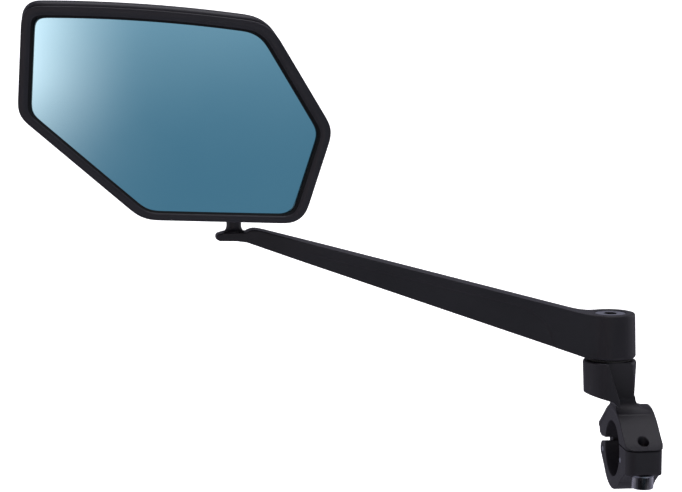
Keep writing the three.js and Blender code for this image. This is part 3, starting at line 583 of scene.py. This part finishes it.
def build_clamp_bolt():
    """Socket-head cap screw with a fluted head, which points down."""
    lowest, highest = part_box("clamp_bolt")
    centre = Vector((middle("clamp_bolt").x, middle("clamp_bolt").y, lowest.z))
    radius = (highest.x - lowest.x) / 2
    head = low("bolt_washer").z - lowest.z
    shank, core, core_from = 2.5 * MM, 2 * MM, 8.3 * MM
    key, key_deep, clear, rounding = 4 * MM, 2.6 * MM, 1 * MM, 0.45 * MM
    length = highest.z - lowest.z
    profile = bevelled([
        (0, 0), (radius, 0), (radius, head), (shank, head), (shank, core_from), (core, core_from),
        (core, length), (0, length),
    ], rounding)
    far_edge = BEVEL_STEPS + 2           # first row of the rounding at the head's upper edge
    teeth, groove = 36, 0.05 * MM
    flutes = (far_edge, far_edge + BEVEL_STEPS, teeth, groove)
    piece = turned("bolt_m5", centre, profile, steps=6 * teeth, flutes=flutes)
    cut(piece, hex_key(centre - Vector((0, 0, clear)), key, key_deep + clear))
    crisp(piece)
    finish_piece(piece, "clamp_bolt", "steel", BOLT_STEEL, "clamp_bolt")
    # Painted shade in the key socket.
    paint_socket_shade(piece, centre, key, lowest.z, 1)


def build_pivot_screw():
    """Countersunk screw with a hexagon socket, flush with the knuckle's top."""
    lowest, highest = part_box("pivot_screw")
    centre = Vector((middle("pivot_screw").x, middle("pivot_screw").y, lowest.z))
    radius, shank, rim = (highest.x - lowest.x) / 2, 3 * MM, 0.4 * MM
    key, key_deep, cutter, rounding = 5 * MM, 2.6 * MM, 4 * MM, 0.25 * MM
    length = highest.z - lowest.z
    profile = bevelled([
        (0, 0), (shank, 0), (shank, length - radius + shank - rim),
        (radius, length - rim), (radius, length), (0, length),
    ], rounding)
    piece = turned("pivot_screw_m6", centre, profile)
    cut(piece, hex_key(centre + Vector((0, 0, length - key_deep)), key, cutter))
    crisp(piece)
    finish_piece(piece, "clamp", "steel", STEEL, "pivot_screw")
    # Painted shade in the key socket.
    paint_socket_shade(piece, centre, key, highest.z, -1)


def build_ball_stud():
    """Ball, neck and flared foot on the arm's tab."""
    neck, flare, rim, rise = 2.85 * MM, 4.1 * MM, 0.3 * MM, 2.4 * MM
    spigot, thread, foot_bevel, tab_gap = 2 * MM, 1.6 * MM, 0.2 * MM, 0.1 * MM
    bore_from, bore_to = -20 * MM, -8 * MM      # from below the stud up to under the ball
    bottom = low("ball_stud").z - BALL.z
    tab = TAB_TOP + tab_gap - BALL.z
    join = -math.sqrt(BALL_RADIUS ** 2 - neck ** 2)
    start = math.asin(join / BALL_RADIUS)
    ball_rows = [
        (BALL_RADIUS * math.cos(angle), BALL_RADIUS * math.sin(angle))
        for angle in np.linspace(start, math.pi / 2, 24)
    ]
    sweep = [
        (flare - (flare - neck) * math.sin(angle), tab + rim + rise * (1 - math.cos(angle)))
        for angle in np.linspace(0, math.pi / 2, 8)
    ]
    foot = [
        (0, bottom), (spigot, bottom), (spigot, tab),
        (flare - foot_bevel, tab), (flare, tab + foot_bevel),
    ]
    piece = turned("stud", BALL, [*foot, *sweep, *ball_rows[:-1], (0, BALL_RADIUS)])
    cut(piece, turned("bore", BALL, [(0, bore_from), (thread, bore_from), (thread, bore_to), (0, bore_to)]))
    crisp(piece)
    finish_piece(piece, "arm", "black_steel", ANODISED, "ball_stud")


def build_pins():
    """Plain pins across the clamp with chamfered ends."""
    for node, body in (("hinge_pin", "clamp"), ("grip_pin", "lower_jaw")):
        lowest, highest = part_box(node)
        radius = (highest.z - lowest.z) / 2
        length = highest.x - lowest.x
        centre = Vector((lowest.x, highest.y - radius, middle(node).z))
        profile = bevelled([(0, 0), (radius, 0), (radius, length), (0, length)], CREASE)
        piece = turned(node + "_turned", centre, profile, "X", PIN_STEPS)
        crisp(piece)
        finish_piece(piece, body, "steel", STEEL, node)


def build_friction_washer():
    """The dark washer in the groove between knuckle and collar."""
    lowest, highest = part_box("friction_washer")
    centre = Vector((middle("friction_washer").x, middle("friction_washer").y, lowest.z))
    radius, thick = (highest.x - lowest.x) / 2, highest.z - lowest.z
    piece = turned("groove_washer", centre, bevelled([
        (0, 0), (radius, 0), (radius, thick), (0, thick),
    ], CREASE))
    hole, below, above = 3.3 * MM, -1 * MM, 3 * MM
    bore = [(0, below), (hole, below), (hole, above), (0, above)]
    cut(piece, turned("bore", centre, bore))
    crisp(piece)
    finish_piece(piece, "clamp", "rubber", RUBBER, "friction_washer")


def paint_hidden_parts():
    """The CAD parts inside the joint and behind the glass keep their shapes."""
    looks = {
        "bolt_washer": STEEL, "stud_screw": STEEL, "seat_spring": STEEL,
        "socket_screw_1": STEEL, "socket_screw_2": STEEL,
        "pivot_bush": NYLON, "ball_seat_lower": NYLON, "ball_seat_upper": NYLON,
        "socket_block": PLASTIC, "socket_cap": PLASTIC, "glass_carrier": PLASTIC, "glass_pad": FOAM,
    }
    for node, look in looks.items():
        crisp(paint(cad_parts[node], look))


build_bezel()
build_glass()
build_housing()
build_forgings()
build_clamp_bolt()
build_pivot_screw()
build_ball_stud()
build_pins()
build_friction_washer()
paint_hidden_parts()

# --------------------------------------------------------------- studio scene

LOWEST, HIGHEST = BOUNDS_BEFORE
CENTRE = (LOWEST + HIGHEST) / 2
SPAN = (HIGHEST - LOWEST).length
CAMERA_PLACE = Vector((-195.2, -725.5, 176.5)) * MM     # from the middle of the handlebar bore
CAMERA_TURN, CAMERA_RISE = math.radians(-6.2), math.radians(7.3)
LENS = 100                                              # millimetres
LIGHT_DISTANCE = 3 * SPAN
LIGHT_COLOUR = (0.96, 0.94, 1.0)
WORLD_COLOUR, WORLD_STRENGTH = (0.92, 0.9, 1.1), 0.255


def stage_material(name, colour, glow):
    """A matt material that also glows in its own colour."""
    made, shader = material(name, colour, roughness=0.9)
    shader.inputs["Emission Color"].default_value = (*colour, 1)
    shader.inputs["Emission Strength"].default_value = glow
    return made


def build_backdrop():
    """A pale floor that curves up into a wall far behind the object."""
    drop, wide = 0.9 * SPAN, 14 * SPAN
    floor_z = LOWEST.z - drop
    curve, curve_from = 4 * SPAN, CENTRE.y + 8 * SPAN
    section = [(-wide, floor_z)]
    for angle in np.linspace(0, math.pi / 2, 17):
        section.append((curve_from + curve * math.sin(angle), floor_z + curve * (1 - math.cos(angle))))
    section.append((section[-1][0], floor_z + wide))
    points = [(x, y, z) for y, z in section for x in (CENTRE.x - wide, CENTRE.x + wide)]
    faces = [(2 * row, 2 * row + 1, 2 * row + 3, 2 * row + 2) for row in range(len(section) - 1)]
    mesh = bpy.data.meshes.new("backdrop")
    mesh.from_pydata(points, [], faces)
    mesh.shade_smooth()
    piece = add_object("backdrop", mesh)
    paint(piece, stage_material("pale_backdrop", (0.9, 0.9, 0.9), glow=1.1))
    piece.visible_glossy = False


def combined(tree, operation, a, b):
    """A vector operation on two colours, given as sockets or plain values."""
    node = tree.nodes.new("ShaderNodeVectorMath")
    node.operation = operation
    for socket, value in zip(node.inputs, (a, b)):
        if isinstance(value, tuple):
            socket.default_value = value
        else:
            tree.links.new(value, socket)
    return next(socket for socket in node.outputs if socket.enabled)


def card_light(left, right, bottom, top, depth):
    """A glow on the left and a paler sky in a dim blue room, over the area that the glass reflects."""
    glow_colour, sky_colour, room_colour = (2.2, 1.4, 1.2), (0.31, 0.26, 0.245), (0.195, 0.305, 0.38)
    made, shader = material("screen_light", colour=(0, 0, 0), roughness=1.0)
    tree = made.node_tree
    place = tree.nodes.new("ShaderNodeTexCoord").outputs["Object"]
    split = tree.nodes.new("ShaderNodeSeparateXYZ")
    tree.links.new(place, split.inputs["Vector"])
    width, height = right - left, top - bottom
    glow_reach, glow_top = left + 0.46 * width, top - 0.32 * height
    room_edge, room_middle = 0.92 * width, 0.68 * width
    glow = ramp(tree, split.outputs["X"], glow_reach, left, power=2.4)
    fade = ramp(tree, split.outputs["Z"], bottom, glow_top, low_value=0.1, power=1.8)
    sky = ramp(tree, split.outputs["Z"], bottom, top, power=2.7)
    away = combined(tree, "DISTANCE", place, ((left + right) / 2, depth, (bottom + top) / 2))
    room = ramp(tree, away, room_edge, room_middle, low_value=0.08)
    side_light = combined(tree, "MULTIPLY", combined(tree, "MULTIPLY", glow, fade), glow_colour)
    light = combined(tree, "ADD", side_light, combined(tree, "MULTIPLY", sky, sky_colour))
    light = combined(tree, "MULTIPLY", combined(tree, "ADD", light, room_colour), room)
    tree.links.new(light, shader.inputs["Emission Color"])
    shader.inputs["Emission Strength"].default_value = 1.0
    return made


def build_reflection_card():
    """What the glass reflects, on a card behind the camera."""
    distance, half = 5 * SPAN, 5 * SPAN
    depth = GLASS_FRONT - distance
    view = Vector((GLASS_CROWN[0], GLASS_FRONT, GLASS_CROWN[1])) - CAMERA_PLACE
    enlarged = 1 + distance * (1 / view.length + 2 / GLASS_RADIUS)

    def seen(x, z):
        """The place on the card that the glass shows at a place of its own."""
        return (
            GLASS_CROWN[0] + distance * view.x / view.y + (x - GLASS_CROWN[0]) * enlarged,
            GLASS_CROWN[1] + distance * view.z / view.y + (z - GLASS_CROWN[1]) * enlarged,
        )

    left, bottom = seen(low("mirror_glass").x, low("mirror_glass").z)
    right, top = seen(high("mirror_glass").x, high("mirror_glass").z)
    points = [
        (CENTRE.x + x * half, depth, CENTRE.z + z * half)
        for x, z in ((-1, -1), (1, -1), (1, 1), (-1, 1))
    ]
    mesh = bpy.data.meshes.new("screen")
    mesh.from_pydata(points, [], [(0, 1, 2, 3)])
    piece = add_object("screen", mesh)
    paint(piece, card_light(left, right, bottom, top, depth))
    piece.visible_camera = False
    piece.visible_shadow = False


def add_softbox(name, direction, size, power):
    """A square soft light that points at the object from a direction."""
    data = bpy.data.lights.new(name, "AREA")
    data.shape = "SQUARE"
    data.size = size
    data.energy = power
    data.color = LIGHT_COLOUR
    lamp = bpy.data.objects.new(name, data)
    bpy.context.scene.collection.objects.link(lamp)
    offset = Vector(direction).normalized() * LIGHT_DISTANCE
    lamp.location = CENTRE + offset
    lamp.rotation_euler = (-offset).to_track_quat("-Z", "Y").to_euler()


def build_world():
    """A faint even light from all around."""
    world = bpy.data.worlds.new("studio")
    world.use_nodes = True
    background = world.node_tree.nodes["Background"]
    background.inputs["Color"].default_value = (*WORLD_COLOUR, 1)
    background.inputs["Strength"].default_value = WORLD_STRENGTH
    bpy.context.scene.world = world


def build_camera():
    """Looks forwards at the glass, from a little to the left and above."""
    data = bpy.data.cameras.new("camera")
    data.lens = LENS
    camera = bpy.data.objects.new("camera", data)
    bpy.context.scene.collection.objects.link(camera)
    camera.location = CAMERA_PLACE
    camera.rotation_euler = (math.pi / 2 - CAMERA_RISE, 0, CAMERA_TURN)
    bpy.context.scene.camera = camera


build_backdrop()
build_reflection_card()
build_world()
add_softbox("left_softbox", direction=(-1, 0.1, 0.15), size=0.7, power=1.2)
add_softbox("right_softbox", direction=(1, 0.2, 0.25), size=0.7, power=1.2)
add_softbox("top_softbox", direction=(0.1, -0.1, 1), size=0.8, power=4.8)
add_softbox("low_softbox", direction=(0.5, -0.7, -0.5), size=0.5, power=0.6)
build_camera()
bpy.context.scene.view_settings.view_transform = "Standard"
